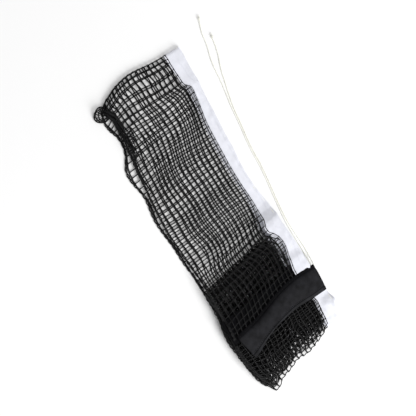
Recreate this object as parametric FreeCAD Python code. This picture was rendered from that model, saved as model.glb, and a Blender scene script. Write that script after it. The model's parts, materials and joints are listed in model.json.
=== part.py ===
"""Table tennis net folded flat into a bundle, written as one STEP file per piece.

The net is one long band: mesh, a white tape sewn over its top edge, a doubled tension cord inside the
tape, a thick selvedge on its bottom edge and a post sleeve at each end. It is folded in long and short
layers. +X runs from the book-like fold to the end of the folded stack, +Y towards the tape, +Z up. The
origin is at the centre of the bundle's base, on the surface it lies on. All sizes are in millimetres.
"""

import FreeCAD, Part
import math
import os

from FreeCAD import Vector

# Net, as it is cut
NET_HEIGHT = 152.5
TAPE_WIDTH = 18.0
MESH_HEIGHT = NET_HEIGHT - TAPE_WIDTH
SELVEDGE_WIDTH = 3.0
SLEEVE_WIDTH = 41.0

# Thickness of the soft layers, and the height from one layer to the next
MESH_THICKNESS = 2.2
TAPE_THICKNESS = 2.6
LAYER_PITCH = 3.0
PART_GAP = 0.3

# Where the folds are along X
FOLD_X = -247.5
STACK_END_X = 247.5
STACK_START_X = 56.0
STACK_PANELS = 5
TOP_END_X = 133.0
HIDDEN_SLEEVE_END_X = 150.0
HIDDEN_SLEEVE_START_X = HIDDEN_SLEEVE_END_X - SLEEVE_WIDTH

# Bottom edge of the mesh in each layer, as a place along Y
LOWER_BASE_Y = -76.5
TOP_BASE_Y = -74.0
PANEL_BASE_Y = [-79.5, -79.0, -79.3, -78.8, -74.0]

# Top layer: the long layer that opens like a book about the fold
FOLD_HEIGHT = 6.4
TOP_REST_Z = MESH_THICKNESS + 0.9
TOP_SLOPE_END_X = -205.0
CLIMB_START_X = 14.0
CLIMB_END_X = 46.0
LEDGE_START_X = 98.0
LEDGE_END_X = 108.0

# End sleeve on top, a flattened tube that a post goes through
SLEEVE_WALL = 0.9
SLEEVE_HEM = 5.0
SLEEVE_HEIGHT = 8.0
SLEEVE_SIDE_HEIGHT = 1.6
SLEEVE_START_Y = -70.0
HIDDEN_SLEEVE_START_Y = -82.5
HIDDEN_SLEEVE_THICKNESS = 2.2

# Tension cord in the tape, and its two free tails
CORD_DIAMETER = 1.8
CORD_CHANNEL_DIAMETER = 2.0
CORD_FROM_TAPE_EDGE = [2.0, 5.0]
KNOT_RADIUS = 2.6
KNOT_LENGTH = 6.4

# Points that each tail follows, from the mouth of the tape to its knot
TAIL_Z = CORD_DIAMETER / 2 + 0.05
TAIL_ROUTES = {
    "cord_tail_outer": [
        (150.0, 76.5, 16.3),
        (143.0, 78.2, 16.2),
        (136.0, 82.2, 14.2),
        (129.0, 86.4, 8.6),
        (121.0, 89.4, 2.9),
        (110.0, 91.0, TAIL_Z),
        (89.0, 90.0, TAIL_Z),
        (52.0, 88.4, TAIL_Z),
        (13.0, 92.6, TAIL_Z),
        (-32.0, 98.4, TAIL_Z),
        (-70.0, 99.0, TAIL_Z),
        (-101.0, 103.6, TAIL_Z),
        (-134.0, 106.8, TAIL_Z),
        (-160.0, 113.2, TAIL_Z),
        (-187.0, 119.4, TAIL_Z),
        (-207.0, 128.6, TAIL_Z),
        (-226.0, 131.4, TAIL_Z),
    ],
    "cord_tail_inner": [
        (150.0, 73.5, 16.3),
        (143.0, 74.6, 16.4),
        (136.0, 77.8, 15.2),
        (128.5, 82.0, 9.6),
        (120.0, 85.0, 3.4),
        (108.0, 86.0, TAIL_Z),
        (86.0, 85.8, TAIL_Z),
        (52.0, 85.6, TAIL_Z),
        (13.0, 90.0, TAIL_Z),
        (-32.0, 95.8, TAIL_Z),
        (-70.0, 96.4, TAIL_Z),
        (-103.0, 101.4, TAIL_Z),
        (-136.0, 104.2, TAIL_Z),
        (-164.0, 109.6, TAIL_Z),
        (-189.0, 111.2, TAIL_Z),
        (-207.0, 114.0, TAIL_Z),
        (-225.0, 120.0, TAIL_Z),
        (-243.0, 121.4, TAIL_Z),
        (-257.0, 127.2, TAIL_Z),
    ],
}


def layer_z(layer):
    """Height of the underside of a layer: 0 is the lower long layer, 1 to 5 the panels of the stack."""
    return layer * LAYER_PITCH


def box(x_low, x_high, y_low, y_high, z_low, z_high):
    """A block between two corners."""
    corner = Vector(x_low, y_low, z_low)
    return Part.makeBox(x_high - x_low, y_high - y_low, z_high - z_low, corner)


def fused(shapes):
    """One solid from shapes that share faces, with the shared faces taken out."""
    whole = shapes[0]
    for shape in shapes[1:]:
        whole = whole.fuse(shape)
    return whole.removeSplitter()


def prism_along_y(points_xz, y_low, y_high):
    """A solid with a closed outline in the XZ plane, carried along Y."""
    corners = [Vector(x, y_low, z) for x, z in points_xz]
    outline = Part.makePolygon(corners + corners[:1])
    return Part.Face(outline).extrude(Vector(0, y_high - y_low, 0))


def ring_sector(x, z, inner, outer, y_low, y_high, x_side, z_side=0):
    """The half of a flat ring about a line along Y that lies on one X side, or its quarter on one Z side."""
    centre = Vector(x, y_low, z)
    along = Vector(0, 1, 0)
    width = y_high - y_low
    ring = Part.makeCylinder(outer, width, centre, along)
    ring = ring.cut(Part.makeCylinder(inner, width, centre, along))
    x_low, x_high = (x, x + outer) if x_side > 0 else (x - outer, x)
    z_low = z if z_side > 0 else z - outer
    z_high = z if z_side < 0 else z + outer
    return ring.common(box(x_low, x_high, y_low, y_high, z_low, z_high))


def turn_side(layer):
    """Which X side a panel is folded over at its start: the stack's end for odd ones, its start for even."""
    return 1 if layer % 2 else -1


def panel_span(layer):
    """X span of a panel's flat part. The last panel stops at the hidden sleeve."""
    turn_room = (LAYER_PITCH + TAPE_THICKNESS) / 2
    x_low = STACK_START_X + turn_room
    x_high = STACK_END_X - turn_room
    if layer == STACK_PANELS:
        x_low = HIDDEN_SLEEVE_END_X
    return x_low, x_high


def panel_strip(layer, thickness, y_low, y_high):
    """A strip of a stack panel: its flat part, and the half turn that joins it to the layer under it."""
    x_low, x_high = panel_span(layer)
    z_low = layer_z(layer)
    flat = box(x_low, x_high, y_low, y_high, z_low, z_low + thickness)
    side = turn_side(layer)
    turn_x = x_high if side > 0 else x_low
    turn_z = z_low - (LAYER_PITCH - thickness) / 2
    inner = (LAYER_PITCH - thickness) / 2
    turn = ring_sector(turn_x, turn_z, inner, inner + thickness, y_low, y_high, side)
    return fused([flat, turn])


def lower_strip(thickness, y_low, y_high):
    """A strip of the lower long layer, with the lower quarter of the book-like fold at its -X end."""
    radius = FOLD_HEIGHT / 2
    start_x = FOLD_X + radius
    flat = box(start_x, panel_span(1)[1], y_low, y_high, 0, thickness)
    quarter = ring_sector(start_x, radius, radius - thickness, radius, y_low, y_high, -1, -1)
    below_split = box(FOLD_X - 1, start_x, y_low, y_high, -1, radius - PART_GAP / 2)
    return fused([flat, quarter.common(below_split)])


def top_strip(thickness, y_low, y_high):
    """A strip of the top layer: the fold's upper quarter, a long flat run, and the climb over the stack."""
    radius = FOLD_HEIGHT / 2
    start_x = FOLD_X + radius
    stack_top = layer_z(STACK_PANELS)
    underside = [
        (start_x, FOLD_HEIGHT - thickness),
        (TOP_SLOPE_END_X, TOP_REST_Z),
        (CLIMB_START_X, TOP_REST_Z),
        (CLIMB_END_X, stack_top),
        (LEDGE_START_X, stack_top),
        (LEDGE_END_X, stack_top + LAYER_PITCH),
        (TOP_END_X, stack_top + LAYER_PITCH),
    ]
    upper_side = [(x, z + thickness) for x, z in underside]
    run = prism_along_y(underside + upper_side[::-1], y_low, y_high)
    quarter = ring_sector(start_x, radius, radius - thickness, radius, y_low, y_high, -1, 1)
    above_split = box(FOLD_X - 1, start_x, y_low, y_high, radius + PART_GAP / 2, FOLD_HEIGHT + 1)
    return fused([run, quarter.common(above_split)])


def strip(layer, thickness, y_low, y_high):
    """A strip of any layer, by its name in the table of layers."""
    if layer == "lower":
        return lower_strip(thickness, y_low, y_high)
    if layer == "top":
        return top_strip(thickness, y_low, y_high)
    return panel_strip(layer, thickness, y_low, y_high)


def cord_in_layer(layer, y, diameter):
    """One strand of the tension cord, or its channel, through a layer's tape."""
    middle = TAPE_THICKNESS / 2
    if layer == "lower":
        start = Vector(FOLD_X + FOLD_HEIGHT / 2, y, middle)
        return Part.makeCylinder(diameter / 2, panel_span(1)[1] - start.x, start, Vector(1, 0, 0))
    if layer == "top":
        start = Vector(TOP_SLOPE_END_X, y, TOP_REST_Z + middle)
        return Part.makeCylinder(diameter / 2, CLIMB_START_X - start.x, start, Vector(1, 0, 0))
    x_low, x_high = panel_span(layer)
    start = Vector(x_low, y, layer_z(layer) + middle)
    return Part.makeCylinder(diameter / 2, x_high - x_low, start, Vector(1, 0, 0))


def layer_pieces(name, layer, base_y):
    """The pieces of one layer: mesh, tape with its two cord channels, tension cord strands, selvedge."""
    mesh_top = base_y + MESH_HEIGHT
    tape_top = mesh_top + TAPE_WIDTH
    tape = strip(layer, TAPE_THICKNESS, mesh_top, tape_top)
    strand_y = [tape_top - offset for offset in CORD_FROM_TAPE_EDGE]
    for y in strand_y:
        tape = tape.cut(cord_in_layer(layer, y, CORD_CHANNEL_DIAMETER))
    strands = [cord_in_layer(layer, y, CORD_DIAMETER) for y in strand_y]
    return {
        "netting_" + name: strip(layer, MESH_THICKNESS, base_y, mesh_top),
        "top_tape_" + name: tape,
        "tension_cord_" + name: Part.makeCompound(strands),
        "bottom_selvedge_" + name: strip(layer, TAPE_THICKNESS, base_y - SELVEDGE_WIDTH, base_y),
    }


def hidden_sleeve():
    """The sleeve at the far end of the net, pressed flat and shut between the stack and the top layer."""
    z_low = layer_z(STACK_PANELS)
    y_low = HIDDEN_SLEEVE_START_Y
    return box(HIDDEN_SLEEVE_START_X, HIDDEN_SLEEVE_END_X - PART_GAP, y_low, y_low + NET_HEIGHT,
               z_low, z_low + HIDDEN_SLEEVE_THICKNESS)


def sleeve_outline(wall):
    """Closed XZ outline of the top sleeve's tube, moved in by a wall: a flat base and an arched top."""
    x_low = TOP_END_X + PART_GAP + SLEEVE_HEM + wall
    x_high = TOP_END_X + PART_GAP + SLEEVE_WIDTH - wall
    z_base = layer_z(STACK_PANELS) + LAYER_PITCH
    z_low = z_base + wall
    z_side = z_base + SLEEVE_SIDE_HEIGHT
    z_crown = z_base + SLEEVE_HEIGHT - wall
    crown = Vector((x_low + x_high) / 2, 0, z_crown)
    low_left, low_right = Vector(x_low, 0, z_low), Vector(x_high, 0, z_low)
    left, right = Vector(x_low, 0, z_side), Vector(x_high, 0, z_side)
    edges = [
        Part.LineSegment(low_left, low_right).toShape(),
        Part.LineSegment(low_right, right).toShape(),
        Part.Arc(right, crown, left).toShape(),
        Part.LineSegment(left, low_left).toShape(),
    ]
    return Part.Face(Part.Wire(edges))


def top_sleeve():
    """The sleeve on top: a tube open at both ends of its length, with a post pocket inside it."""
    along = Vector(0, NET_HEIGHT, 0)
    start = Vector(0, SLEEVE_START_Y, 0)
    outer = sleeve_outline(0).extrude(along)
    pocket = sleeve_outline(SLEEVE_WALL).extrude(along)
    tube = outer.cut(pocket)
    tube.translate(start)
    return tube


def sleeve_seam_binding():
    """The flat sewn edge that joins the top sleeve to the end of the mesh."""
    x_low = TOP_END_X + PART_GAP
    z_low = layer_z(STACK_PANELS) + LAYER_PITCH
    return box(x_low, x_low + SLEEVE_HEM, SLEEVE_START_Y, SLEEVE_START_Y + NET_HEIGHT,
               z_low, z_low + MESH_THICKNESS)


def rounded_path(points):
    """Straight runs joined by tangent arcs, the arcs as large as the two runs beside them allow.

    Returns the wire, its length and its smallest arc radius.
    """
    edges = []
    radii = []
    last = points[0]
    for before, corner, after in zip(points, points[1:], points[2:]):
        into, out = corner - before, after - corner
        half_turn = into.getAngle(out) / 2
        cut_back = 0.45 * min(into.Length, out.Length)
        radii.append(cut_back / math.tan(half_turn))
        start = corner - into.normalize() * cut_back
        end = corner + out.normalize() * cut_back
        inward = (start + end) * 0.5 - corner
        centre_distance = radii[-1] / math.cos(half_turn)
        middle = corner + inward.normalize() * (centre_distance - radii[-1])
        edges.append(Part.LineSegment(last, start).toShape())
        edges.append(Part.Arc(start, middle, end).toShape())
        last = end
    edges.append(Part.LineSegment(last, points[-1]).toShape())
    wire = Part.Wire(edges)
    return wire, wire.Length, min(radii)


def cord_tail(name):
    """A free tail of the tension cord: a round tube along its rounded route, and the knot at its end."""
    points = [Vector(*point) for point in TAIL_ROUTES[name]]
    wire, length, smallest = rounded_path(points)
    direction = points[1] - points[0]
    section = Part.Wire(Part.makeCircle(CORD_DIAMETER / 2, points[0], direction))
    tube = wire.makePipeShell([section], True, False)
    expected = math.pi * CORD_DIAMETER**2 / 4 * length
    share = tube.Volume / expected
    print(f"{name}: length {length:.1f}, smallest radius {smallest:.1f}, volume share {share:.4f}")
    onward = (points[-1] - points[-2]).normalize()
    base = points[-1] + Vector(0, 0, KNOT_RADIUS - TAIL_Z)
    knot = Part.makeCylinder(KNOT_RADIUS, KNOT_LENGTH, base, onward)
    knot = knot.makeFillet(0.4 * KNOT_RADIUS, knot.Edges)
    return tube, knot


def build():
    """Every piece of the net, by node name."""
    pieces = layer_pieces("lower", "lower", LOWER_BASE_Y)
    for layer, base_y in enumerate(PANEL_BASE_Y, start=1):
        pieces.update(layer_pieces(f"panel_{layer}", layer, base_y))
    pieces.update(layer_pieces("top", "top", TOP_BASE_Y))
    pieces["end_sleeve_hidden"] = hidden_sleeve()
    pieces["end_sleeve_top"] = top_sleeve()
    pieces["sleeve_seam_binding"] = sleeve_seam_binding()
    for name in TAIL_ROUTES:
        tube, knot = cord_tail(name)
        pieces[name] = tube
        pieces[name.replace("tail", "knot")] = knot
    return pieces


def main():
    os.makedirs("parts", exist_ok=True)
    for name, shape in build().items():
        shape.exportStep(f"parts/{name}.step")
        size = shape.optimalBoundingBox()
        print(f"{name}: {len(shape.Solids)} solid, x {size.XMin:.1f} {size.XMax:.1f}, "
              f"y {size.YMin:.1f} {size.YMax:.1f}, z {size.ZMin:.2f} {size.ZMax:.2f}")


main()
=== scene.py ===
import json
import math

import bpy
import numpy as np
from bpy.props import FloatProperty, FloatVectorProperty, IntProperty, PointerProperty
from mathutils import Matrix, Vector


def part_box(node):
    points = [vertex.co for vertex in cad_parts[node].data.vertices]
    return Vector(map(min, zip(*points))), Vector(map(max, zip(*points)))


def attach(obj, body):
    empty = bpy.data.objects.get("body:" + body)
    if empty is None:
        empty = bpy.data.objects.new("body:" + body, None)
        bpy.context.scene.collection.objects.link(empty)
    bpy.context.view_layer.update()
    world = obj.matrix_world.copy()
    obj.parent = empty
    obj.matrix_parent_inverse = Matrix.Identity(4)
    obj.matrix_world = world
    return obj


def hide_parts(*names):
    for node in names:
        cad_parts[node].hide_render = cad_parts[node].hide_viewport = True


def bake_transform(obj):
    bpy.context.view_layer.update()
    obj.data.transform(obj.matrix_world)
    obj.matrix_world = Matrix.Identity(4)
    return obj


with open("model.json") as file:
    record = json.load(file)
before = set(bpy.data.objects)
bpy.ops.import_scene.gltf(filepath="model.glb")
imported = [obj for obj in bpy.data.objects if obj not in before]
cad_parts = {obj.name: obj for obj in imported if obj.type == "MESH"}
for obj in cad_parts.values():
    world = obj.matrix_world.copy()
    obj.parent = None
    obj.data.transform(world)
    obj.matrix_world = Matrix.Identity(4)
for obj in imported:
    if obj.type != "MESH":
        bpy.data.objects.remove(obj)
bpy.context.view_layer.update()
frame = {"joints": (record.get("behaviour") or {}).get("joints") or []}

bl_info = {
    "name": "Folded Table Tennis Net",
    "version": (1, 0, 0),
    "blender": (4, 5, 0),
    "location": "View3D > Sidebar > Net",
    "description": "Builds the threads, tape, sleeves and cord of a folded table tennis net",
    "category": "Object",
}

# Places that the frame gives
FOLD_LINE_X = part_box("netting_lower")[0].x
TOP_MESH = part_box("netting_top")
SLEEVE_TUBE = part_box("end_sleeve_top")
SLEEVE_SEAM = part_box("sleeve_seam_binding")
HIDDEN_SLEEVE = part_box("end_sleeve_hidden")
FOLD_HINGE = Vector(next(j for j in frame["joints"] if j["name"] == "top_layer_fold")["pos_m"])

# Heights of the layers of the folded net
LAYER_PITCH = 0.003
THREAD_MIDDLE = 0.0013
TOP_LOW_Z = 0.0042
TOP_FOLD_Z = 0.00507
STACK_Z = 5 * LAYER_PITCH + THREAD_MIDDLE
TOP_END_Z = STACK_Z + LAYER_PITCH
PANELS = ("panel_1", "panel_2", "panel_3", "panel_4", "panel_5")
LAYERS = ("lower", *PANELS, "top")

# Where the layers turn and end along X
SPLIT_X = -0.236
STACK_HIGH_X = 0.2447
STACK_LOW_X = 0.0588
LAST_PANEL_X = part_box("netting_panel_5")[0].x
TOP_END_X = TOP_MESH[1].x
LOOP_END_X = STACK_HIGH_X + 0.0024

# Fixed sizes of the cut cloth, and how far it waves as it lies
CELL_HEIGHT = 0.0084
KNOT_LENGTH = 0.0011
SLEEVE_LENGTH = 0.1525
SLEEVE_AROUND = 0.082
CLOTH_WAVE = 0.0022
TAPE_EDGE_WAVE = 0.0010
TAPE_LIFT = 0.0045
CORD_FROM_TAPE_EDGE = 0.0024
FLOOR_GAP = 0.0005

# The bundled bottom edge: two yarns that twist round each other
YARN_OUT = 0.00125
YARN_UP = 0.00035
YARN_RADIUS = 0.00085
YARN_TWIST = 0.019

# The fold: how far it bows out, and the arc beside it where the top layer is pushed together
FOLD_BOW = 0.0070
GATHER_X = -0.2045
GATHER_WIDTH = 0.011
GATHER_SLIDE = 0.0052
GATHER_RISE = 0.0022

# The curled corner and the strip that has turned over
CURL_CENTRE = (-0.2292, -0.0632, 0.0)
CURL_REACH = 0.0104
TURNED_LENGTH = 0.082
TURNED_RISE = 0.0016

# The sleeve's flat edges, and its hem as a share of the band from the seam
SEAM_EDGE_WIDTH = 0.0048
SEAM_MIDDLE = -0.0022
BINDING_HALF_HEIGHT = 0.0008
HEM_AT = 0.83
HEM_STITCHES_AT = 0.79

# The cord's knots, and the stitches: how many samples a stitch has, and how far each row is out and up
KNOT_RING = 0.00052
KNOT_Z = 0.0021
STITCH_SAMPLES = 10
TAPE_ROWS = (("inner", 0.0014, 0.00085), ("outer", 0.0128, 0.0011))

# Edges of the cloth as it lies, as places along X with the Y of the edge there
LOW_EDGE = {
    "lower": (
        (-0.247, -0.061), (-0.236, -0.064), (-0.214, -0.062), (-0.190, -0.059), (-0.166, -0.063),
        (-0.150, -0.071), (-0.128, -0.0745), (-0.095, -0.0715), (-0.060, -0.077), (-0.010, -0.0755),
        (0.050, -0.0755),
    ),
    "top": (
        (-0.247, -0.060), (-0.236, -0.058), (-0.214, -0.0545), (-0.190, -0.0555), (-0.165, -0.059),
        (-0.140, -0.064), (-0.106, -0.067), (-0.060, -0.073), (-0.010, -0.0725), (0.050, -0.0735),
        (0.090, -0.076), (0.133, -0.0785),
    ),
    "stack": (
        (0.050, -0.0755), (0.091, -0.075), (0.116, -0.079), (0.164, -0.0815), (0.206, -0.079),
        (0.233, -0.0745), (0.247, -0.070),
    ),
}
HIGH_EDGE = {
    "lower": (
        (-0.247, 0.058), (-0.228, 0.062), (-0.190, 0.061), (-0.160, 0.060), (-0.130, 0.056),
        (-0.095, 0.053), (-0.060, 0.052), (-0.010, 0.054), (0.050, 0.047),
    ),
    "top": (
        (-0.247, 0.0565), (-0.214, 0.058), (-0.201, 0.059), (-0.189, 0.065), (-0.167, 0.064),
        (-0.135, 0.0585), (-0.101, 0.0565), (-0.065, 0.055), (-0.043, 0.055), (0.010, 0.0565),
        (0.030, 0.0545), (0.046, 0.049), (0.052, 0.050), (0.060, 0.0555), (0.068, 0.059),
        (0.078, 0.0605), (0.092, 0.0595), (0.103, 0.0565), (0.119, 0.0525), (0.133, 0.052),
    ),
    "stack": (
        (0.050, 0.047), (0.100, 0.049), (0.150, 0.054), (0.177, 0.060), (0.198, 0.062),
        (0.216, 0.061), (0.247, 0.056),
    ),
}
TAPE_EDGE = {
    "lower": (
        (-0.247, 0.0815), (-0.228, 0.0815), (-0.190, 0.0795), (-0.162, 0.0795), (-0.130, 0.077),
        (-0.094, 0.0745), (-0.059, 0.0725), (-0.032, 0.0715), (0.005, 0.0755), (0.050, 0.0765),
    ),
    "top": (
        (-0.247, 0.079), (-0.228, 0.0785), (-0.190, 0.0785), (-0.162, 0.0765), (-0.130, 0.076),
        (-0.094, 0.073), (-0.059, 0.071), (-0.032, 0.0705), (0.005, 0.0745), (0.050, 0.075),
        (0.107, 0.0765), (0.133, 0.076),
    ),
    "stack": (
        (0.050, 0.0765), (0.100, 0.0775), (0.140, 0.0775), (0.165, 0.079), (0.180, 0.081),
        (0.197, 0.083), (0.211, 0.080), (0.225, 0.0755), (0.247, 0.0715),
    ),
}

# The stack's outer end: places along Y with the X where its loops end there
STACK_END = (
    (-0.076, 0.2325), (-0.071, 0.2365), (-0.066, 0.2465), (-0.058, 0.2505), (-0.048, 0.2465),
    (-0.028, 0.2415), (0.008, 0.2345), (0.041, 0.231), (0.056, 0.226), (0.065, 0.219),
)
PAIR_DRAWN_IN = (0.0, 0.0100, 0.0185)
PANEL_EDGE_DRAWN_IN = (0.0060, 0.0075, 0.0, 0.0050, 0.0030)

# The two long edges of the post sleeve's band as it lies: places along Y with the X of the edge there
SEAM_EDGE = (
    (-0.076, 0.1385), (-0.054, 0.1365), (-0.034, 0.1345), (-0.017, 0.1305), (0.012, 0.124),
    (0.027, 0.122), (0.047, 0.1215), (0.061, 0.1225), (0.082, 0.126),
)
FREE_EDGE = (
    (-0.070, 0.184), (-0.057, 0.180), (-0.037, 0.171), (-0.019, 0.166), (0.008, 0.163),
    (0.028, 0.163), (0.054, 0.1665), (0.082, 0.169),
)

# Points of the two cord tails, from the mouth of the tape to the knot
TAIL_Z = 0.00095
TAIL_POINTS = {
    "outer": [
        (0.1500, 0.0765, 0.0163), (0.1430, 0.0782, 0.0162), (0.1360, 0.0822, 0.0142),
        (0.1290, 0.0864, 0.0086), (0.1210, 0.0894, 0.0029), (0.1100, 0.0910, TAIL_Z),
        (0.0890, 0.0900, TAIL_Z), (0.0520, 0.0884, TAIL_Z), (0.0130, 0.0926, TAIL_Z),
        (-0.0320, 0.0984, TAIL_Z), (-0.0700, 0.0990, TAIL_Z), (-0.1010, 0.1036, TAIL_Z),
        (-0.1340, 0.1068, TAIL_Z), (-0.1600, 0.1132, TAIL_Z), (-0.1870, 0.1194, TAIL_Z),
        (-0.2070, 0.1286, TAIL_Z), (-0.2260, 0.1314, TAIL_Z),
    ],
    "inner": [
        (0.1500, 0.0735, 0.0163), (0.1430, 0.0746, 0.0164), (0.1360, 0.0778, 0.0152),
        (0.1285, 0.0820, 0.0096), (0.1200, 0.0850, 0.0034), (0.1080, 0.0860, TAIL_Z),
        (0.0860, 0.0858, TAIL_Z), (0.0520, 0.0856, TAIL_Z), (0.0130, 0.0900, TAIL_Z),
        (-0.0320, 0.0958, TAIL_Z), (-0.0700, 0.0964, TAIL_Z), (-0.1030, 0.1014, TAIL_Z),
        (-0.1360, 0.1042, TAIL_Z), (-0.1640, 0.1096, TAIL_Z), (-0.1890, 0.1112, TAIL_Z),
        (-0.2070, 0.1140, TAIL_Z), (-0.2250, 0.1200, TAIL_Z), (-0.2430, 0.1214, TAIL_Z),
        (-0.2570, 0.1272, TAIL_Z),
    ],
}


class NetSizes(bpy.types.PropertyGroup):
    """Sizes of the net's own pieces."""

    cells_across: IntProperty(name="Cells across", description="Mesh cells over the net's height", default=16)
    cell_length: FloatProperty(
        name="Cell length", description="Length of one cell along the net", default=0.0096, unit="LENGTH"
    )
    thread_radius: FloatProperty(
        name="Thread radius", description="Radius of the mesh thread", default=0.00088, unit="LENGTH"
    )
    knot_swell: FloatProperty(
        name="Knot swell", description="How much thicker a thread is where two threads cross", default=0.45
    )
    tape_width: FloatProperty(
        name="Tape width", description="Width of the sewn tape", default=0.018, unit="LENGTH"
    )
    tape_cloth: FloatProperty(
        name="Tape cloth", description="Thickness of the tape's cloth", default=0.00035, unit="LENGTH"
    )
    sleeve_cloth: FloatProperty(
        name="Sleeve cloth", description="Thickness of the sleeve's cloth", default=0.0007, unit="LENGTH"
    )
    cord_diameter: FloatProperty(
        name="Cord diameter", description="Diameter of the tension cord", default=0.0018, unit="LENGTH"
    )
    stitch_length: FloatProperty(
        name="Stitch length", description="Length of one stitch of the seams", default=0.0032, unit="LENGTH"
    )


class NetFinish(bpy.types.PropertyGroup):
    """Colours of the net's materials."""

    thread: FloatVectorProperty(
        name="Thread", description="Black nylon thread", default=(0.0028, 0.0028, 0.0032), subtype="COLOR"
    )
    sleeve: FloatVectorProperty(
        name="Sleeve", description="Black sleeve fabric", default=(0.0120, 0.0120, 0.0140), subtype="COLOR"
    )
    tape: FloatVectorProperty(
        name="Tape", description="White tape fabric", default=(0.76, 0.77, 0.83), subtype="COLOR"
    )
    cord: FloatVectorProperty(
        name="Cord", description="Cream cord", default=(0.97, 0.96, 0.88), subtype="COLOR"
    )


class StageSettings(bpy.types.PropertyGroup):
    """Camera place and lens."""

    azimuth: FloatProperty(
        name="Azimuth", description="Side the camera stands on", default=math.radians(-46), subtype="ANGLE"
    )
    elevation: FloatProperty(
        name="Elevation", description="Height of the camera above the horizon", default=math.radians(65),
        subtype="ANGLE",
    )
    roll: FloatProperty(
        name="Roll", description="Turn of the camera about its view", default=math.radians(101.5),
        subtype="ANGLE",
    )
    distance: FloatProperty(
        name="Distance", description="Camera to the object", default=1.6, unit="LENGTH"
    )
    lens: FloatProperty(name="Lens", description="Focal length in millimetres", default=98.9)


def curve_through(x, pairs):
    """A smooth line through given pairs: a cubic in each span, with the mean slope of its neighbours."""
    stations, values = np.array(pairs).T
    slopes = np.gradient(values, stations)
    x = np.clip(x, stations[0], stations[-1])
    span = np.clip(np.searchsorted(stations, x, side="right") - 1, 0, len(stations) - 2)
    width = stations[span + 1] - stations[span]
    t = (x - stations[span]) / width
    return (
        (2 * t**3 - 3 * t**2 + 1) * values[span]
        + (t**3 - 2 * t**2 + t) * width * slopes[span]
        + (3 * t**2 - 2 * t**3) * values[span + 1]
        + (t**3 - t**2) * width * slopes[span + 1]
    )


def ease(t):
    """0 before 0, 1 after 1, and three t squared less two t cubed between."""
    t = np.clip(t, 0, 1)
    return t * t * (3 - 2 * t)


def stacked(*coordinates):
    """Points from their two or three coordinates, each spread to the same shape."""
    return np.stack(np.broadcast_arrays(*coordinates), axis=-1)


def bump(x, centre, width):
    """A bell of height 1: e to the power of minus the square of the distance over the width."""
    return np.exp(-(((x - centre) / width) ** 2))


def ripple(x, y, wave, seed):
    """A smooth uneven field between about -1 and 1: the sum of six sine waves of uneven length."""
    rng = np.random.default_rng(seed)
    total = np.zeros(np.broadcast(x, y).shape)
    for _ in range(6):
        length = wave * rng.uniform(0.6, 1.7)
        angle = rng.uniform(0, 2 * math.pi)
        phase = rng.uniform(0, 2 * math.pi)
        total += np.sin(2 * math.pi / length * (x * math.cos(angle) + y * math.sin(angle)) + phase)
    return total / 2.6


def half_turn_points(x, z_from, z_to, side):
    """Points of a half circle in the XZ plane between two heights, bulging to one X side."""
    angle = np.linspace(-math.pi / 2, math.pi / 2, 9)
    radius = (z_to - z_from) / 2
    return [(x + side * radius * math.cos(a), (z_from + z_to) / 2 + radius * math.sin(a)) for a in angle]


def layer_points(layer):
    """The layer's line seen from the side: its places along X and its heights, in order along the net."""
    if layer == "lower":
        return [(SPLIT_X, THREAD_MIDDLE), (STACK_HIGH_X, THREAD_MIDDLE)]
    if layer == "fold":
        low = [(SPLIT_X, THREAD_MIDDLE)]
        turn_x = FOLD_LINE_X + FOLD_HINGE.z
        turn = half_turn_points(turn_x, THREAD_MIDDLE, 2 * FOLD_HINGE.z - THREAD_MIDDLE, -1)
        return low + turn + [(SPLIT_X, TOP_FOLD_Z)]
    if layer == "top":
        return [
            (SPLIT_X, TOP_FOLD_Z),
            (-0.205, TOP_LOW_Z),
            (0.010, TOP_LOW_Z),
            (0.020, TOP_LOW_Z + 0.0018),
            (0.038, STACK_Z - 0.0016),
            (0.048, STACK_Z),
            (0.098, STACK_Z),
            (0.108, TOP_END_Z),
            (TOP_END_X, TOP_END_Z),
        ]
    number = order_of(layer)
    z = number * LAYER_PITCH + THREAD_MIDDLE
    side = 1 if number % 2 else -1
    start_x = STACK_HIGH_X if side > 0 else STACK_LOW_X
    end_x = STACK_LOW_X if side > 0 else STACK_HIGH_X
    if layer == PANELS[-1]:
        end_x = LAST_PANEL_X
    return half_turn_points(start_x, z - LAYER_PITCH, z, side) + [(end_x, z)]


def layer_length(layer):
    """Length of the layer's line."""
    points = np.array(layer_points(layer))
    return float(np.linalg.norm(np.diff(points, axis=0), axis=1).sum())


def along_layer(layer, s):
    """Place along X and height at a distance s along the layer's line."""
    points = np.array(layer_points(layer))
    reach = np.concatenate([[0], np.cumsum(np.linalg.norm(np.diff(points, axis=0), axis=1))])
    return np.interp(s, reach, points[:, 0]), np.interp(s, reach, points[:, 1])


def order_of(layer):
    """0 for the long layers, and 1 to 5 for the panels of the stack."""
    return PANELS.index(layer) + 1 if layer in PANELS else 0


def upper_share(layer, z):
    """0 on the lower layer, 1 on the top layer, and from 0 to 1 round the fold between them."""
    if layer == "fold":
        return ease((z - THREAD_MIDDLE) / (TOP_FOLD_Z - THREAD_MIDDLE))
    return np.ones_like(z) if layer == "top" else np.zeros_like(z)


def edge_of(table, layer, x, z):
    """Y of one of the cloth's edges along a layer. The lower layer's edge goes over into the stack's."""
    if layer == "top":
        return curve_through(x, table["top"])
    before_stack = x < table["stack"][0][0]
    lower = np.where(before_stack, curve_through(x, table["lower"]), curve_through(x, table["stack"]))
    share = upper_share(layer, z)
    return lower + (curve_through(x, table["top"]) - lower) * share


def looseness(layer, s):
    """0 where a layer goes over into the next one of the stack, and 1 from 20 mm in."""
    length = layer_length(layer)
    if layer == "lower":
        return ease((length - s) / 0.02)
    if layer in PANELS:
        return ease(s / 0.02) * ease((length - s) / 0.02)
    return np.ones_like(s)


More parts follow.
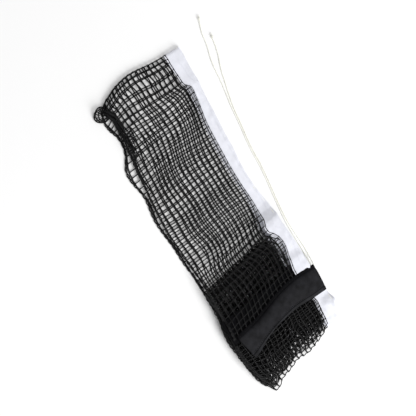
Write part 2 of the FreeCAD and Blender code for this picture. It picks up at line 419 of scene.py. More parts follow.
def fold_pull(x, y):
    """How far the cloth at the fold moves along X: it bows out in the middle and draws in low down."""
    near = ease((-0.185 - x) / 0.055)
    drawn = 0.0045 * ease((-0.025 - y) / 0.025) + 0.0110 * ease((-0.045 - y) / 0.022)
    return near * (drawn - FOLD_BOW * bump(y, -0.002, 0.032))


def gathered_ridge(x, y):
    """How near a point is to the arc where the cloth is pushed together: a signed push, and 0 to 1."""
    arc = GATHER_X + 0.0085 * (np.abs(y - 0.013) / 0.045) ** 2
    apart = (x - arc) / GATHER_WIDTH
    return apart * np.exp(-(apart**2)), np.exp(-(apart**2))


def slid(layer, x, y):
    """How far the cloth of the stack and the climb is slid along X: its ends lie askew, with uneven loops."""
    start = ease((x - 0.015) / 0.035) * ease((0.13 - x) / 0.05)
    shift = start * (-0.0017 - 0.085 * y)
    if layer in ("top", "fold"):
        return shift
    end = ease((x - 0.15) / 0.09)
    askew = curve_through(y, STACK_END) - LOOP_END_X
    pair = order_of(layer) // 2
    uneven = 0.0030 * ripple(0.3 * pair + 0 * x, y, 0.04, 60 + pair) - PAIR_DRAWN_IN[pair]
    uneven = uneven + 0.0022 * ripple(0 * x, y, 0.016, 65 + pair)
    return shift + end * (askew + uneven)


def wave(x, y, share, length, seed):
    """One uneven field for the lower layer and another for the top layer, mixed round the fold."""
    return (1 - share) * ripple(x, y, length, seed) + share * ripple(x, y, length, seed + 1)


def lay(layer, s, v):
    """A point of the net's cloth as it lies.

    s is the distance along the layer, and v is 0 at the bottom edge of the mesh and 1 at its top edge. The
    point is the layer's line at s, set across between the mesh's two edges, then moved by smooth waves of a
    few millimetres, by the skew of the stack, by the bow of the fold and by the arc where the top layer is
    pushed together, as limp cloth lies.
    """
    s, v = np.broadcast_arrays(np.asarray(s, float), np.asarray(v, float))
    x, z = along_layer(layer, s)
    share = upper_share(layer, z)
    loose = looseness(layer, s)
    low = edge_of(LOW_EDGE, layer, x, z)
    high = edge_of(HIGH_EDGE, layer, x, z)
    inside = np.clip(v * 6, 0, 1) * np.clip((1 - v) * 6, 0, 1)
    cell = inside * loose / bpy.context.scene.net_sizes.cells_across
    if layer in PANELS:
        number = PANELS.index(layer)
        seed = 100 + 10 * number
        low = low + 0.0014 * loose * ripple(x, 0 * x, 0.11, seed)
        high = high - loose * bump(x, 0.2, 0.045) * PANEL_EDGE_DRAWN_IN[number]
        if layer == PANELS[3]:
            high = high + loose * ease((0.14 - x) / 0.03) * (curve_through(x, HIGH_EDGE["top"]) - high)
        v = v + cell * (0.5 * (number % 2) + 0.16 * ripple(x, 0 * x, 0.1, seed + 1))
    else:
        seed = 1
        curl = share * bump(x, -0.203, 0.052)
        v = v * (1 - 0.92 * curl * np.clip(1 - v, 0, 1) ** 2.2)
        open_cells = ease((x + 0.2245) / 0.006) * ease((-0.197 - x) / 0.012) * ease((v - 0.4) / 0.2)
        offset = (0.5 + 0.13 * ripple(x, 60 * cell, 0.13, 12)) * (1 - open_cells) * (1 - share)
        v = v + cell * offset
    y = low + (high - low) * v
    if layer in ("lower", PANELS[3]):
        tied = ease((x - SPLIT_X) / 0.012) * ease((0.05 - x) / 0.03)
        if layer == PANELS[3]:
            tied = loose * ease((0.14 - x) / 0.03) * ease((0.94 - v) / 0.1)
        beside = curve_through(x, LOW_EDGE["top"]) * (1 - v) + curve_through(x, HIGH_EDGE["top"]) * v
        y = y + inside * tied * (beside - y)
        share = np.maximum(share, 0.85 * tied * (layer == "lower"))
    y = y + inside * loose * CLOTH_WAVE * wave(x, y * 0.45, share, 0.085, seed + 2)
    y = y + share * 0.0050 * bump(x, 0.010, 0.022) * bump(y, -0.040, 0.024)
    held = loose * ease((x - FOLD_LINE_X) / 0.02)
    x = x + slid(layer, x, y) + held * CLOTH_WAVE * wave(x * 0.5, y, share, 0.075, seed + 4)
    if layer in PANELS:
        raised = 0.0011 * loose * (layer == PANELS[3])
        return stacked(x, y, z + raised)
    x = x + fold_pull(x, y)
    if layer == "top":
        push, ridge = gathered_ridge(x, y)
        rest = ease((x + 0.21) / 0.03) * ease((0.118 - x) / 0.02)
        z = z + rest * 0.0005 * (1 + ripple(x, y, 0.05, 33)) + GATHER_RISE * ridge
        x = x - GATHER_SLIDE * push
        seam = curve_through(y, SEAM_EDGE) + 0.0035
        x = x + ease((x - 0.060) / (TOP_END_X - 0.060)) * (seam - TOP_END_X)
    return stacked(x, y, z)


def new_object(name, vertices, faces, material, smooth=True):
    """An object at the origin with a mesh of these vertices and faces."""
    if not len(faces) or not np.isfinite(vertices).all():
        raise ValueError(f"{name} has no faces, or a vertex that isn't a number")
    mesh = bpy.data.meshes.new(name)
    mesh.from_pydata(vertices.reshape(-1, 3).tolist(), [], faces)
    mesh.update()
    mesh.shade_smooth() if smooth else mesh.shade_flat()
    obj = bpy.data.objects.new(name, mesh)
    bpy.context.scene.collection.objects.link(obj)
    mesh.materials.append(material)
    return obj


def tube_set(centres, radius, sides, up=(0.0, 0.0, 1.0)):
    """Round tubes along a set of lines, as vertices and faces.

    centres has the shape lines x points x 3 and radius lines x points. Each ring is the centre plus the
    radius times the cosine of an angle sideways and its sine along the line's own up, and each end has a
    flat cap.
    """
    count, length = centres.shape[:2]
    along = np.gradient(centres, axis=1)
    along = along / np.maximum(np.linalg.norm(along, axis=2, keepdims=True), 1e-12)
    up = np.broadcast_to(np.asarray(up, float), centres.shape)
    side = np.cross(up, along)
    side = side / np.maximum(np.linalg.norm(side, axis=2, keepdims=True), 1e-12)
    rise = np.cross(along, side)
    angle = np.arange(sides) * 2 * math.pi / sides
    ring = (
        side[:, :, None, :] * np.cos(angle)[None, None, :, None]
        + rise[:, :, None, :] * np.sin(angle)[None, None, :, None]
    )
    vertices = centres[:, :, None, :] + ring * radius[:, :, None, None]
    index = np.arange(count * length * sides).reshape(count, length, sides)
    turned = np.roll(index, -1, axis=2)
    quads = np.stack([index[:, :-1], turned[:, :-1], turned[:, 1:], index[:, 1:]], axis=-1)
    faces = quads.reshape(-1, 4)[:, ::-1].tolist()
    faces += index[:, 0].tolist()
    faces += index[:, -1, ::-1].tolist()
    return vertices.reshape(-1, 3), faces


def joined(parts):
    """Several sets of vertices and faces as one."""
    vertices = []
    faces = []
    start = 0
    for points, polygons in parts:
        vertices.append(points)
        faces += [[corner + start for corner in polygon] for polygon in polygons]
        start += len(points)
    return np.concatenate(vertices), faces


def node(tree, kind, **inputs):
    """A shader node with its input values set, keyed by the socket's name with spaces as underscores."""
    made = tree.nodes.new(kind)
    for name, value in inputs.items():
        made.inputs[name.replace("_", " ")].default_value = value
    return made


def base_material(name, colour, roughness, sheen, specular):
    """A Principled material, its tree and its shader."""
    material = bpy.data.materials.new(name)
    material.use_nodes = True
    tree = material.node_tree
    shader = tree.nodes["Principled BSDF"]
    shader.inputs["Base Color"].default_value = (*colour, 1)
    shader.inputs["Roughness"].default_value = roughness
    shader.inputs["Sheen Weight"].default_value = sheen
    shader.inputs["Sheen Roughness"].default_value = 0.5
    shader.inputs["Specular IOR Level"].default_value = specular
    material.diffuse_color = (*colour, 1)
    return material, tree, shader


def mottled(tree, shader, colour, spread, scale):
    """Colour that varies softly over the piece between a darker and a lighter tone of one colour."""
    place = tree.nodes.new("ShaderNodeTexCoord")
    noise = node(tree, "ShaderNodeTexNoise", Scale=scale, Detail=4.0, Roughness=0.55)
    ramp = tree.nodes.new("ShaderNodeValToRGB")
    ramp.color_ramp.elements[0].position = 0.3
    ramp.color_ramp.elements[1].position = 0.7
    ramp.color_ramp.elements[0].color = (*[c * (1 - spread) for c in colour], 1)
    ramp.color_ramp.elements[1].color = (*[min(1.0, c * (1 + spread)) for c in colour], 1)
    tree.links.new(place.outputs["Object"], noise.inputs["Vector"])
    tree.links.new(noise.outputs["Fac"], ramp.inputs["Fac"])
    tree.links.new(ramp.outputs["Color"], shader.inputs["Base Color"])
    return place


def thread_material():
    """Black nylon thread: twisted strands as fine slanting ridges, with a soft gloss."""
    colour = bpy.context.scene.net_finish.thread
    material, tree, shader = base_material("black_thread", colour, 0.42, 0.0, 0.16)
    place = mottled(tree, shader, colour, 0.35, 260.0)
    ridges = node(tree, "ShaderNodeTexWave", Scale=330.0, Distortion=1.2, Detail=1.0)
    ridges.bands_direction = "DIAGONAL"
    relief = node(tree, "ShaderNodeBump", Strength=0.55, Distance=0.0003)
    tree.links.new(place.outputs["Object"], ridges.inputs["Vector"])
    tree.links.new(ridges.outputs["Fac"], relief.inputs["Height"])
    tree.links.new(relief.outputs["Normal"], shader.inputs["Normal"])
    return material


def woven_material(name, colour, roughness, specular, pitch, depth, spread):
    """Plain woven cloth: warp and weft ridges in the piece's own UV metres, multiplied into small bumps."""
    material, tree, shader = base_material(name, colour, roughness, 0.0, specular)
    mottled(tree, shader, colour, spread, 90.0)
    place = tree.nodes.new("ShaderNodeUVMap")
    place.uv_map = "cloth"
    heights = []
    for direction in ("X", "Y"):
        wave = node(tree, "ShaderNodeTexWave", Scale=0.31 / pitch, Distortion=0.6, Detail=1.0)
        wave.bands_direction = direction
        tree.links.new(place.outputs["UV"], wave.inputs["Vector"])
        heights.append(wave)
    weave = tree.nodes.new("ShaderNodeMath")
    weave.operation = "MULTIPLY"
    tree.links.new(heights[0].outputs["Fac"], weave.inputs[0])
    tree.links.new(heights[1].outputs["Fac"], weave.inputs[1])
    relief = node(tree, "ShaderNodeBump", Strength=0.6, Distance=depth)
    creases = node(tree, "ShaderNodeTexNoise", Scale=120.0, Detail=3.0, Roughness=0.5)
    where = tree.nodes.new("ShaderNodeTexCoord")
    soft = node(tree, "ShaderNodeBump", Strength=0.35, Distance=0.0008)
    tree.links.new(where.outputs["Object"], creases.inputs["Vector"])
    tree.links.new(creases.outputs["Fac"], soft.inputs["Height"])
    tree.links.new(weave.outputs["Value"], relief.inputs["Height"])
    tree.links.new(soft.outputs["Normal"], relief.inputs["Normal"])
    tree.links.new(relief.outputs["Normal"], shader.inputs["Normal"])
    return material


def cord_material():
    """Cream braided cord: two sets of slanting ridges that cross, with fine fuzz."""
    colour = bpy.context.scene.net_finish.cord
    material, tree, shader = base_material("cream_cord", colour, 0.9, 0.1, 0.1)
    place = mottled(tree, shader, colour, 0.06, 200.0)
    heights = []
    for angle in (45, -45):
        turn = tree.nodes.new("ShaderNodeMapping")
        turn.inputs["Rotation"].default_value = (0, 0, math.radians(angle))
        wave = node(tree, "ShaderNodeTexWave", Scale=420.0, Distortion=0.8, Detail=1.0)
        tree.links.new(place.outputs["Object"], turn.inputs["Vector"])
        tree.links.new(turn.outputs["Vector"], wave.inputs["Vector"])
        heights.append(wave)
    braid = tree.nodes.new("ShaderNodeMath")
    braid.operation = "MAXIMUM"
    tree.links.new(heights[0].outputs["Fac"], braid.inputs[0])
    tree.links.new(heights[1].outputs["Fac"], braid.inputs[1])
    relief = node(tree, "ShaderNodeBump", Strength=0.15, Distance=0.0002)
    tree.links.new(braid.outputs["Value"], relief.inputs["Height"])
    tree.links.new(relief.outputs["Normal"], shader.inputs["Normal"])
    return material


def made_once(name, maker):
    """The material of this name, made on first use."""
    return bpy.data.materials.get(name) or maker()


def black_thread():
    """The thread's material, shared by all the netting."""
    return made_once("black_thread", thread_material)


def white_tape():
    """The tape's woven material."""
    finish = bpy.context.scene.net_finish
    return made_once(
        "tape_weave", lambda: woven_material("tape_weave", finish.tape, 0.75, 0.2, 0.0007, 0.00012, 0.06)
    )


def black_sleeve():
    """The sleeve's woven material."""
    finish = bpy.context.scene.net_finish
    return made_once(
        "sleeve_weave", lambda: woven_material("sleeve_weave", finish.sleeve, 0.7, 0.10, 0.0006, 0.00010, 0.5)
    )


def shaded_sleeve():
    """The sleeve fabric with painted shade: the sleeve colour darkened to 0.4 of itself, with little gloss,
    for the sleeve pressed inside the stack and the flat edges beside the sleeve, where shade falls.
    """
    # Painted shade: the sleeve's own colour times 0.4, a darker copy of the lit sleeve.
    colour = [0.4 * c for c in bpy.context.scene.net_finish.sleeve]
    return made_once(
        "shaded_sleeve", lambda: woven_material("shaded_sleeve", colour, 0.8, 0.03, 0.0006, 0.00010, 0.2)
    )


def cream_cord():
    """The cord's material, shared by the tails, the knots and the cord in the tape."""
    return made_once("cream_cord", cord_material)


def netting(layer, name):
    """The knotted threads of one layer.

    Lengthwise threads run at even shares of the mesh's height, and cross threads at even steps along it,
    each with a small uneven shift. All follow the cloth's surface, and every thread swells where it crosses
    another. The swell is a bell along the thread, as long as the knot.
    """
    sizes = bpy.context.scene.net_sizes
    length = layer_length(layer)
    columns = 3 if layer == "fold" else round(length / sizes.cell_length)
    rows = sizes.cells_across
    rng = np.random.default_rng(200 + sum(map(ord, layer)))
    fine = 6
    crossings = (np.arange(columns) + (0.08 if layer == "top" else 0.5)) / columns * length
    s = np.linspace(0, length, columns * fine + 1)
    v = np.arange(rows + 1) / rows
    v_lines = v[:, None] + rng.normal(0, 0.0035, (rows + 1, 1))
    lengthwise = lay(layer, s[None, :], v_lines)
    phase = ((s - crossings[0]) * columns / length + 0.5) % 1 - 0.5
    swell = bump(phase * sizes.cell_length, 0, KNOT_LENGTH)
    over = np.where(np.arange(rows + 1) % 2, 1, -1)[:, None] * 0.00012
    lengthwise[..., 2] += over * swell
    share = 1.3 - 0.4 * ease((lengthwise[..., 0] - 0.205) / 0.02) if layer in PANELS else 1.06
    thick = sizes.thread_radius * share
    radius = np.broadcast_to(thick * (1 + sizes.knot_swell * swell), lengthwise.shape[:2])
    parts = [tube_set(lengthwise, radius, 6)]
    across_v = np.linspace(0, 1, rows * fine + 1)
    s_lines = crossings[:, None] + rng.normal(0, 0.0004, (columns, 1))
    across = lay(layer, s_lines, across_v[None, :])
    phase = (across_v * rows + 0.5) % 1 - 0.5
    swell = bump(phase * CELL_HEIGHT, 0, KNOT_LENGTH)
    thick = sizes.thread_radius * (0.86 - (layer == "top") * 0.16 * ease((across[..., 0] - 0.04) / 0.02))
    radius = np.broadcast_to(thick * (1 + sizes.knot_swell * swell), across.shape[:2])
    parts.append(tube_set(across, radius, 6))
    vertices, faces = joined(parts)
    return new_object(name, vertices, faces, black_thread())


def selvedge(layer, name):
    """The bundled edge thread: two yarns that twist round each other just outside the mesh's bottom edge."""
    length = layer_length(layer)
    count = max(8, int(length / 0.0014))
    s = np.linspace(0, length, count)
    middle = lay(layer, s, np.full(count, -0.006))
    middle[:, 1] += 0.0016 * ripple(s, 0 * s, 0.07, 150 + sum(map(ord, layer))) * looseness(layer, s)
    turn = 2 * math.pi * s / YARN_TWIST
    lines = []
    for start in (0.0, math.pi):
        line = middle.copy()
        line[:, 1] += YARN_OUT * np.cos(turn + start)
        line[:, 2] += YARN_UP * np.sin(turn + start)
        lines.append(line)
    centres = np.stack(lines)
    radius = np.full(centres.shape[:2], YARN_RADIUS)
    vertices, faces = tube_set(centres, radius, 6)
    return new_object(name, vertices, faces, black_thread())


def cloth_grid(name, points, uv, material, thickness):
    """A sheet through a grid of points, with its UV in metres, given its thickness by Solidify."""
    rows, columns = points.shape[:2]
    index = np.arange(rows * columns).reshape(rows, columns)
    quads = np.stack([index[:-1, :-1], index[1:, :-1], index[1:, 1:], index[:-1, 1:]], axis=-1).reshape(-1, 4)
    obj = new_object(name, points, quads.tolist(), material)
    layer = obj.data.uv_layers.new(name="cloth")
    corners = np.zeros(len(obj.data.loops), np.int32)
    obj.data.loops.foreach_get("vertex_index", corners)
    layer.data.foreach_set("uv", uv.reshape(-1, 2)[corners].astype(np.float32).ravel())
    solid = obj.modifiers.new("cloth thickness", "SOLIDIFY")
    solid.thickness = thickness
    solid.offset = 0
    return obj


def tape_point(layer, s, out):
    """A point of the tape's middle: a distance out past the mesh's top edge, straight on across the net.

    Where the stack's tape is crumpled, it swells outward and rises.
    """
    s, out = np.broadcast_arrays(s, out)
    base = lay(layer, s, np.ones_like(s))
    inner = lay(layer, s, np.full_like(s, 0.9))
    across = base - inner
    across[..., 2] = 0
    across[..., 0] *= 1 - ease((base[..., 0] - 0.15) / 0.03)
    across = across / np.linalg.norm(across, axis=-1, keepdims=True)
    share = out / bpy.context.scene.net_sizes.tape_width
    edge = edge_of(TAPE_EDGE, layer, base[..., 0], along_layer(layer, s)[1])
    uneven = TAPE_EDGE_WAVE * ripple(base[..., 0], 0 * share, 0.06, 90 + order_of(layer))
    edge = edge + uneven * looseness(layer, s)
    points = base + across * (share * (edge - base[..., 1]) / across[..., 1])[..., None]
    crumpled = bump(points[..., 0], 0.192, 0.013) - 0.6 * bump(points[..., 0], 0.177, 0.006)
    points[..., 2] += TAPE_LIFT * crumpled * share * (layer in PANELS) * looseness(layer, s)
    return points


def tape(layer, name, below):
    """The tape of one layer: a strip folded over the mesh edge, thick at its fold where the cord runs inside.

    The section is a closed-ended U: out along the underside from inside the mesh edge to the fold, round it,
    and back along the upper side. It is carried along the layer, with creases that stand out more on top.
    """
    sizes = bpy.context.scene.net_sizes
    length = layer_length(layer)
    count = max(10, int(length / 0.0018))
    s = np.linspace(0, length, count)[:, None]
    turn = np.linspace(0, 1, 33)[None, :]
    side = np.where(turn < 0.5, -1.0, 1.0)
    reach = 1 - np.abs(2 * turn - 1)
    width = sizes.tape_width
    out = width * np.sin(reach * math.pi / 2) ** 0.8 - 0.0016 * (1 - reach)
    plump = 0.00045 + 0.00045 * bump(out, width - 0.0022, 0.002)
    plump = plump * np.sqrt(np.clip((width + 1e-5 - out) / 0.0012, 0, 1))
    points = tape_point(layer, s, out)
    crease = ripple(points[..., 0], points[..., 1] * 1.7, 0.015, 80 + order_of(layer)) * (out / width)
    crumpled = bump(points[..., 0], 0.198, 0.022) * looseness(layer, s)
    crease = crease * ease(np.abs(points[..., 0] - SPLIT_X) / 0.012)
    points[..., 2] += side * plump + (0.00036 + 0.0016 * crumpled) * crease
    points[..., 2] = np.maximum(points[..., 2], FLOOR_GAP)
    uv = stacked(s, turn * 2 * width)
    obj = cloth_grid(name, points, uv, white_tape(), sizes.tape_cloth)
    return obj


class NET_OT_netting(bpy.types.Operator):
    """Make the knotted threads of every layer"""

    bl_idname = "net.netting"
    bl_label = "Netting"

    def execute(self, context):
        for layer in ("lower", *PANELS):
            piece = netting(layer, "threads_" + layer)
            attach(piece, "folded_net")
            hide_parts("netting_" + layer)
        piece = netting("top", "threads_top")
        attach(piece, "top_layer")
        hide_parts("netting_top")
        piece = netting("fold", "threads_fold")
        across_fold(piece)
        return {"FINISHED"}


def across_fold(piece):
    """Put the piece's transform into its mesh. The piece stays whole and does not bend at the fold."""
    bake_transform(piece)


class NET_OT_corner(bpy.types.Operator):
    """Make the curled corner of netting at the fold"""

    bl_idname = "net.corner"
    bl_label = "Curled corner"

    def execute(self, context):
        """Rings of thread that rise inward as a mound, rungs across them, and loose threads beside it."""
        radius = context.scene.net_sizes.thread_radius
        rng = np.random.default_rng(31)
        middle = np.array(CURL_CENTRE)
        turn = np.linspace(math.radians(75), math.radians(425), 60)[None, :]
        ring = np.arange(3)[:, None]
        reach = CURL_REACH - 0.0013 * ring - 0.0014 * (ring > 1) + 0.0006 * np.sin(3 * turn + 2 * ring)
        height = 0.0019 + 0.0026 * ring + 0.0009 * np.sin(2 * turn + 0.7 * ring)
        rings = middle + stacked(reach * np.cos(turn), reach * np.sin(turn), height)
        parts = [tube_set(rings, np.full(rings.shape[:2], radius), 6)]
        angle = np.linspace(math.radians(80), math.radians(415), 13)[:, None] + rng.normal(0, 0.1, (13, 1))
        inward = np.linspace(0, 1, 12)[None, :]
        reach = CURL_REACH - 0.0058 * inward
        height = 0.0012 + 0.0080 * np.sin(inward * math.pi / 2)
        swing = angle + 0.4 * inward
        rungs = middle + stacked(reach * np.cos(swing), reach * np.sin(swing), height)
        parts.append(tube_set(rungs, np.full(rungs.shape[:2], 0.7 * radius), 6))
        along = np.linspace(0, 1, 24)[None, :]
        begin = np.array([-0.2330, -0.0570, 0.0072]) + rng.normal(0, 1, (9, 1, 3)) * (0.0020, 0.0032, 0.0012)
        end = np.array([-0.1960, -0.0485, 0.0068]) + rng.normal(0, 1, (9, 1, 3)) * (0.0080, 0.0024, 0.0005)
        strands = begin + (end - begin) * along[..., None]
        strands[..., 1] += 0.0042 * np.sin(math.pi * along)
        strands[..., 2] += 0.0022 * np.sin(math.pi * along)
        parts.append(tube_set(strands, np.full(strands.shape[:2], radius), 6))
        vertices, faces = joined(parts)
        piece = new_object("corner_curl", vertices, faces, black_thread())
        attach(piece, "folded_net")
        vertices, faces = self.turned_over(radius)
        piece = new_object("turned_over_edge", vertices, faces, black_thread())
        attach(piece, "top_layer")
        return {"FINISHED"}

    def turned_over(self, radius):
        """The strip of the top layer's low edge that has turned over, and lies on the layer near the fold.

        It has its own threads along and across, and rises from the layer by a half wave of a few millimetres.
        """
        rng = np.random.default_rng(32)
        s = np.linspace(0.001, TURNED_LENGTH, 90)
        width = 0.18 * np.sin(np.clip(s / TURNED_LENGTH, 0, 1) * math.pi) ** 0.6 + 0.04
        rows = (np.arange(4) + 0.35) / 4
        rise = np.array([0, 0, TURNED_RISE])
        lengthwise = lay("top", s[None, :], rows[:, None] * width[None, :])
        lengthwise = lengthwise + rise * (0.5 + np.sin(math.pi * rows))[:, None, None]
        parts = [tube_set(lengthwise, np.full(lengthwise.shape[:2], 0.85 * radius), 6)]
        at = np.linspace(0.003, 0.080, 15)[:, None] + rng.normal(0, 0.0012, (15, 1))
        share = np.linspace(0, 1, 20)[None, :]
        across = lay("top", at + 0.004 * share, share * np.interp(at, s, width))
        across = across + rise * (0.5 + np.sin(math.pi * share))[..., None]
        parts.append(tube_set(across, np.full(across.shape[:2], 0.75 * radius), 6))
        return joined(parts)


class NET_OT_selvedge(bpy.types.Operator):
    """Make the bundled thread along the bottom edge"""

    bl_idname = "net.selvedge"
    bl_label = "Bottom selvedge"

    def execute(self, context):
        for layer in LAYERS:
            piece = selvedge(layer, "edge_yarn_" + layer)
            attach(piece, "top_layer" if layer == "top" else "folded_net")
            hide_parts("bottom_selvedge_" + layer)
        piece = selvedge("fold", "edge_yarn_fold")
        across_fold(piece)
        return {"FINISHED"}


class NET_OT_tape(bpy.types.Operator):
    """Make the white tape of every layer"""

    bl_idname = "net.tape"
    bl_label = "Top tape"

    def execute(self, context):
        below = []
        for layer in LAYERS:
            piece = tape(layer, "tape_cloth_" + layer, below)
            below = ["tape_cloth_" + layer]
            apply_modifiers(piece)
            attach(piece, "top_layer" if layer == "top" else "folded_net")
            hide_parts("top_tape_" + layer)
        piece = tape("fold", "tape_cloth_fold", ["tape_cloth_lower"])
        apply_modifiers(piece)
        across_fold(piece)
        return {"FINISHED"}


def apply_modifiers(piece):
    """Put a piece's modifiers into its mesh, and keep its cut edges sharp."""
    evaluated = piece.evaluated_get(bpy.context.evaluated_depsgraph_get())
    final = bpy.data.meshes.new_from_object(evaluated)
    piece.modifiers.clear()
    piece.data = final
    final.set_sharp_from_angle(angle=math.radians(50))


def sleeve_place(u, w):
    """Plan of the top sleeve: u from 0 at its bottom end to 1 at its tape end, w from 0 at the seam to 1.

    Each long edge follows its own line through given points, and w goes straight from one to the other.
    """
    low, high = SLEEVE_SEAM[0].y, SLEEVE_TUBE[1].y
    seam_y = low - 0.004 + (high + 0.003 - low) * u
    free_y = low + 0.003 + (high - 0.006 - low) * u
    seam_x = curve_through(seam_y, SEAM_EDGE) + SEAM_EDGE_WIDTH
    free_x = curve_through(free_y, FREE_EDGE)
    return seam_x + (free_x - seam_x) * w, seam_y + (free_y - seam_y) * w


def sleeve_upper(u, w):
    """A point of the top sleeve's upper face: an arch over its band, lower at both ends, with a hem.

    The arch is a power of a half circle, and the hem is a groove with a small step up beside it.
    """
    x, y = sleeve_place(u, 0.03 + 0.97 * w)
    arch = np.sqrt(np.clip(1 - np.abs(1 - 2 * w) ** (8 / 3), 0, 1))
    crown = 0.0040 + 0.0014 * np.sin(math.pi * u) - 0.0007 * np.cos(3 * math.pi * u)
    crown = crown * (1 - 0.55 * ease((np.abs(2 * u - 1) - 0.6) / 0.4))
    hem = 0.0006 * ease((w - HEM_AT - 0.01) / 0.03) - 0.0011 * bump(w, HEM_AT, 0.014)
    z = SLEEVE_TUBE[0].z + 0.0012 + crown * arch**0.8 * (1 + 0.25 * (w - 0.5)) + hem * arch**0.5
    return stacked(x, y, z + arch * 0.00055 * ripple(x, y * 0.6, 0.045, 7))


class NET_OT_sleeves(bpy.types.Operator):
    """Make the two post sleeves, the seam and the hem lines"""

    bl_idname = "net.sleeves"
    bl_label = "Post sleeves"

    def execute(self, context):
        sizes = context.scene.net_sizes
        u = np.linspace(0, 1, 96)[:, None]
        turn = np.linspace(0, 1, 121)[None, :]
        angle = 2 * math.pi * turn
        w = 0.5 - 0.5 * np.sign(np.cos(angle)) * np.abs(np.cos(angle)) ** 0.75
        lower = SLEEVE_TUBE[0].z + 0.0006 + 0.0003 * np.abs(np.sin(angle))
        upper = sleeve_upper(u, w)
        points = np.where((np.sin(angle) >= 0)[..., None], upper, upper * (1, 1, 0) + stacked(0, 0, lower))
        uv = stacked(u * SLEEVE_LENGTH, turn * SLEEVE_AROUND)
        sleeve = cloth_grid("sleeve_cloth_top", points, uv, black_sleeve(), sizes.sleeve_cloth)
        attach(sleeve, "top_sleeve")
        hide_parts("end_sleeve_top", "sleeve_seam_binding")
        self.binding(sizes, "sleeve_seam_cloth", "top_layer", 0.0, SEAM_MIDDLE, 0.0030)
        self.binding(sizes, "sleeve_hem_cloth", "top_sleeve", 1.0, -0.0016, 0.0024)
        self.hidden(sizes)
        return {"FINISHED"}

    def binding(self, sizes, name, body, w, shift, half):
        """The flat doubled edge along one long side of the sleeve: an ellipse carried along that side."""
        u = np.linspace(0, 1, 96)[:, None]
        turn = np.linspace(0, 1, 17)[None, :]
        angle = 2 * math.pi * turn
        x, y = sleeve_place(u, w + 0 * turn)
        x = x + shift + half * np.cos(angle)
        z = SLEEVE_TUBE[0].z + 0.0014 + BINDING_HALF_HEIGHT * np.sin(angle)
        points = stacked(x, y, z)
        around = 2 * math.pi * math.sqrt((half**2 + BINDING_HALF_HEIGHT**2) / 2)
        uv = stacked(u * SLEEVE_LENGTH, turn * around)
        # Painted shade: the edge takes the darkened sleeve material, standing in for the shade along the
        # sleeve's edge.
        edge = cloth_grid(name, points, uv, shaded_sleeve(), sizes.sleeve_cloth * 0.7)
        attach(edge, body)

    def hidden(self, sizes):
        """The pressed sleeve between the stack and the top layer: a flat closed loop of cloth."""
        low, high = HIDDEN_SLEEVE
        u = np.linspace(0, 1, 64)[:, None]
        turn = np.linspace(0, 1, 49)[None, :]
        angle = 2 * math.pi * turn
        reach = np.sign(np.cos(angle)) * np.abs(np.cos(angle)) ** 0.5
        x = (low.x + high.x) / 2 + (high.x - low.x) / 2 * 0.985 * reach + 0 * u
        y = low.y + (high.y - low.y) * u + 0 * turn
        z = (low.z + high.z) / 2 + 0.0005 * np.sin(angle) + 0 * u
        z = z + 0.0002 * ripple(x, y, 0.04, 17)
        points = stacked(x, y, z)
        uv = stacked(u * SLEEVE_LENGTH, turn * SLEEVE_AROUND)
        # Painted shade: the hidden sleeve takes the darkened sleeve material, standing in for the shade it
        # lies in under the top layer.
        sleeve = cloth_grid("sleeve_cloth_hidden", points, uv, shaded_sleeve(), sizes.sleeve_cloth * 0.7)
        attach(sleeve, "folded_net")
        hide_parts("end_sleeve_hidden")


def cord_curve(name, points, diameter, material):
    """A cord as one open NURBS spline of order 3 through the given control points."""
    data = bpy.data.curves.new(name, "CURVE")
    data.dimensions = "3D"
    spline = data.splines.new("NURBS")
    spline.points.add(len(points) - 1)
    spline.points.foreach_set("co", np.array([(*p, 1.0) for p in points], np.float32).ravel())
    spline.order_u = 3
    spline.use_endpoint_u = True
    data.resolution_u = 10
    data.bevel_depth = diameter / 2
    data.bevel_resolution = 3
    data.use_fill_caps = True
    data.materials.append(material)
    obj = bpy.data.objects.new(name, data)
    bpy.context.scene.collection.objects.link(obj)
    return obj


def knot_points(centre, direction):
    """The line of an overhand knot: a flat trefoil, two plus the cosine of three t, turned twice round."""
    t = np.linspace(0, 2 * math.pi, 121)
    ring = KNOT_RING * (2 + np.cos(3 * t))
    flat = stacked(1.25 * ring * np.cos(2 * t), ring * np.sin(2 * t), 0.0009 * np.sin(3 * t))
    along = np.array([direction.x, direction.y, 0.0])
    along = along / np.linalg.norm(along)
    side = np.array([-along[1], along[0], 0.0])
    up = np.array([0.0, 0.0, 1.0])
    return centre + flat[:, :1] * along + flat[:, 1:2] * side + flat[:, 2:] * up


